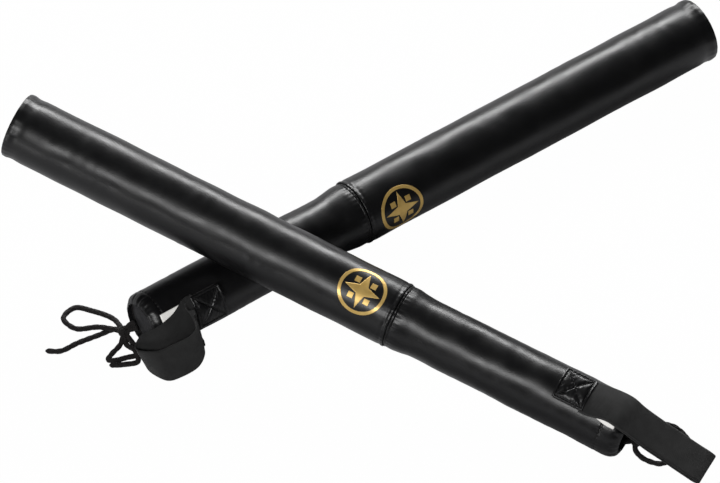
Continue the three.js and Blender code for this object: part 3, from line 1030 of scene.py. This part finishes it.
def knot(stick, centre):
    """An overhand knot: two small, wavy turns of cord about the bow's middle."""
    width = 3.0 * MM
    height = 3.4 * MM
    wave = 0.8 * MM
    rings = []
    for tilt in (0.3, 1.9):
        ring = []
        for turn in np.append(np.linspace(0, TURN, 14, endpoint=False), 0):
            offset = (width * math.cos(turn), height * math.sin(turn) * math.cos(tilt),
                      height * math.sin(turn) * math.sin(tilt) + wave * math.cos(2 * turn))
            ring.append(stick.level_point(*(np.array(centre) * MM + offset)))
        rings.append(ring)
    return rings


def drawcord_bow(stick, centre, loops, tails, links):
    """The cord outside the hem: loops and loose tails from the knot, and links from the hem to it. Stops
    are in millimetres in the stick's level frame."""
    strands = [([centre, *stops, centre], False) for stops in loops]
    strands += [([centre, *stops], True) for stops in tails]
    strands += [([*stops, centre], False) for stops in links]
    grids = []
    for stops, loose_end in strands:
        path = [stick.level_point(*(np.array(stop) * MM)) for stop in stops]
        grids.append(braid(path, loose_end))
    grids += [braid(ring) for ring in knot(stick, centre)]
    made = swept(stick.node("drawcord"), *grids)
    fit(stick, made, "cord", "drawcord_bow", body=f"{stick.name}_bow")


def lower_drawcord(stick):
    centre = (-7.5, 17, -19)
    long_loop = [(-4, 40, -26), (-14, 59, -27), (-24, 70, -27), (-39, 66, -27), (-37, 50, -27),
                 (-20, 38, -25)]
    short_loop = [(-15, 11, -25), (-27, 7.5, -27.3), (-33, 4, -27.4), (-30, 0.5, -27.4),
                  (-18, -3.5, -27.4), (-9, -6, -27.4), (-5.5, -2, -27.2), (-6, 7, -24.5)]
    tail = [(-10, 28, -25), (-25, 32, -27), (-45, 35, -27), (-62, 36, -27), (-73, 44, -27)]
    other_tail = [(-11, 8, -25.5), (-10, -4, -22.6), (-13, -13, -26.8), (-24, -9, -27.4),
                  (-36, -1.8, -27.4)]
    links = [[(2.4, 10, -14), (-1.5, 13, -16)], [(2.4, 14, -10), (-2, 16, -13)]]
    drawcord_bow(stick, centre, [long_loop, short_loop], [tail, other_tail], links)


def upper_drawcord(stick):
    centre = (-8, -4, -13)
    far_loop = [(-16, -27, -11), (-30, -34, -11), (-48, -27, -13), (-43, -15, -14), (-24, -9, -14)]
    near_loop = [(-10, 0, -20), (-20, 4, -21), (-36, 2, -19), (-40, -5, -18), (-24, -5, -17)]
    links = [[(2.4, -6, -15), (-2, -5.5, -14.5)], [(2.4, 1, -16), (-2, -1, -15)]]
    drawcord_bow(stick, centre, [far_loop, near_loop], [], links)


# ---- the emblem ----

def star_edge(turn, points, tip, valley):
    """The outline of a star as a radius at each angle."""
    half = math.pi / points
    into = np.abs((turn + half) % (2 * half) - half)
    return tip * valley * math.sin(half) / (tip * np.sin(into) + valley * np.sin(half - into))


def foil(stick, skin, place, angle, inner, outer):
    """A thin film that follows the cover, between two outlines given as radii at each angle."""
    turn = np.linspace(0, TURN, 240, endpoint=False)[None, :]
    share = np.linspace(0, 1, 14)[:, None]
    reach = inner(turn) * (1 - share) + outer(turn) * share
    along = place + reach * np.cos(turn)
    about = angle + reach * np.sin(turn) / stick.strike_radius
    top = stick.at(along, about, skin(along, about) + 0.16 * MM)
    bottom = stick.at(along, about, skin(along, about) + 0.04 * MM)
    return np.concatenate([top, bottom[::-1]])


def emblem(stick, skin, angle):
    """A generic mark in gold foil: a ring round a compass star, with four small diamonds."""
    place = stick.seam + EMBLEM_FROM_SEAM
    ring_inside = 0.86 * EMBLEM_RADIUS
    star = (4, 0.78 * EMBLEM_RADIUS, 0.27 * EMBLEM_RADIUS)
    diamond = (4, 0.17 * EMBLEM_RADIUS, 0.12 * EMBLEM_RADIUS)
    diamond_reach = 0.50 * EMBLEM_RADIUS

    def circle(radius):
        return lambda turn: radius + 0 * turn

    parts = [
        foil(stick, skin, place, angle, circle(ring_inside), circle(EMBLEM_RADIUS)),
        foil(stick, skin, place, angle, circle(0), lambda turn: star_edge(turn, *star)),
    ]
    for quarter in range(4):
        way = TURN * (quarter + 0.5) / 4
        along = place + diamond_reach * math.cos(way)
        about = angle + diamond_reach * math.sin(way) / stick.strike_radius
        parts.append(foil(stick, skin, along, about, circle(0),
                          lambda turn: star_edge(turn + TURN / 8, *diamond)))
    made = swept(stick.node("gold_emblem"), *parts, close_rows=True)
    fit(stick, made, "emblem")


# ---- both sticks ----

INSIDE = {
    "core_tube": "core_plastic",
    "core_plug_tip": "core_plastic",
    "core_plug_grip": "core_plastic",
    "strike_foam": "foam",
    "grip_foam": "foam",
    "tip_pad": "foam",
    "hem_cord": "cord",
}


def build(name, hem_stitch, emblem_angle, strap, drawcord):
    """Dresses one stick. The emblem lies at an angle in degrees from the patch's line."""
    stick = Stick(name, hem_stitch)
    strike = strike_skin(stick)
    grip = grip_skin(stick)
    strike_cover(stick, strike)
    grip_cover(stick, grip)
    tip_cap(stick)
    seam_ring(stick)
    end_disc(stick)
    sewn_rings(stick, grip)
    strap_patch(stick)
    strap_ends(stick)
    care_label(stick)
    strap(stick)
    drawcord(stick)
    emblem(stick, strike, math.radians(emblem_angle))
    for part, slot in INSIDE.items():
        dress(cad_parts[stick.node(part)], slot)


build("lower", 12 * MM, -11, open_strap, lower_drawcord)
build("upper", 20 * MM, 13, flat_strap, upper_drawcord)


# ---- studio ----

def floor():
    """A pale floor. The camera sees it almost white, with only a trace of the sticks' shadow."""
    half = 12
    # Just below the object, so that the two don't share a plane.
    level = -0.4 * MM
    around = ((-half, -half), (half, -half), (half, half), (-half, half))
    made = piece("floor", [(x, y, level) for x, y in around], [(0, 1, 2, 3)])
    paint = Finish("pale_floor", 0.9, specular=0.0)
    paint.surface.inputs["Base Color"].default_value = (0.60, 0.60, 0.61, 1)
    glow_share = 0.99
    camera_ray = paint.node("LightPath").outputs["Is Camera Ray"]
    amount = paint.combine(camera_ray, glow_share, "MULTIPLY")
    glow = paint.node("Emission", {"Color": (1, 1, 1, 1), "Strength": 1.0}).outputs[0]
    mix = paint.node("MixShader", {0: amount, 1: paint.surface.outputs[0], 2: glow}).outputs[0]
    paint.tree.links.new(mix, paint.tree.nodes["Material Output"].inputs[0])
    made.data.materials.append(paint.material)


def facing(name, data, away, location):
    """A lamp or a camera at a location, looking back along a direction."""
    made = bpy.data.objects.new(name, data)
    made.location = location
    made.rotation_mode = "QUATERNION"
    made.rotation_quaternion = away.to_track_quat("Z", "Y")
    bpy.context.scene.collection.objects.link(made)
    return made


def soft_box(name, direction, distance, width, height, watts):
    """A rectangular lamp that looks at the middle of the object."""
    lamp = bpy.data.lights.new(name, "AREA")
    lamp.shape = "RECTANGLE"
    lamp.size = width
    lamp.size_y = height
    lamp.energy = watts
    away = Vector(direction).normalized()
    facing(name, lamp, away, away * distance)


def studio():
    """A faint even light and three soft boxes, for the long highlights on the covers."""
    world = bpy.data.worlds.new("studio")
    world.use_nodes = True
    background = world.node_tree.nodes["Background"]
    background.inputs["Color"].default_value = (1, 1, 1, 1)
    background.inputs["Strength"].default_value = 0.035
    bpy.context.scene.world = world
    soft_box("rear_box", (0.0, 0.835, 0.55), distance=2.2, width=2.4, height=0.42, watts=62)
    soft_box("front_box", (-0.31, -0.70, 0.64), distance=2.0, width=1.1, height=0.34, watts=16)
    soft_box("left_fill", (-0.76, -0.64, 0.10), distance=2.2, width=0.7, height=0.26, watts=3)
    bpy.context.scene.view_settings.view_transform = "Standard"


def camera():
    """A long lens, so that the view is nearly parallel, aimed at a point on the floor."""
    aim = Vector((-3.2, 15.5, 0)) * MM
    elevation = math.radians(49.48)
    distance = 8.01
    away = Vector((0, -math.cos(elevation), math.sin(elevation)))
    data = bpy.data.cameras.new("camera")
    data.sensor_width = 36
    data.lens = 450
    data.clip_end = 100
    bpy.context.scene.camera = facing("camera", data, away, aim + away * distance)


floor()
studio()
camera()
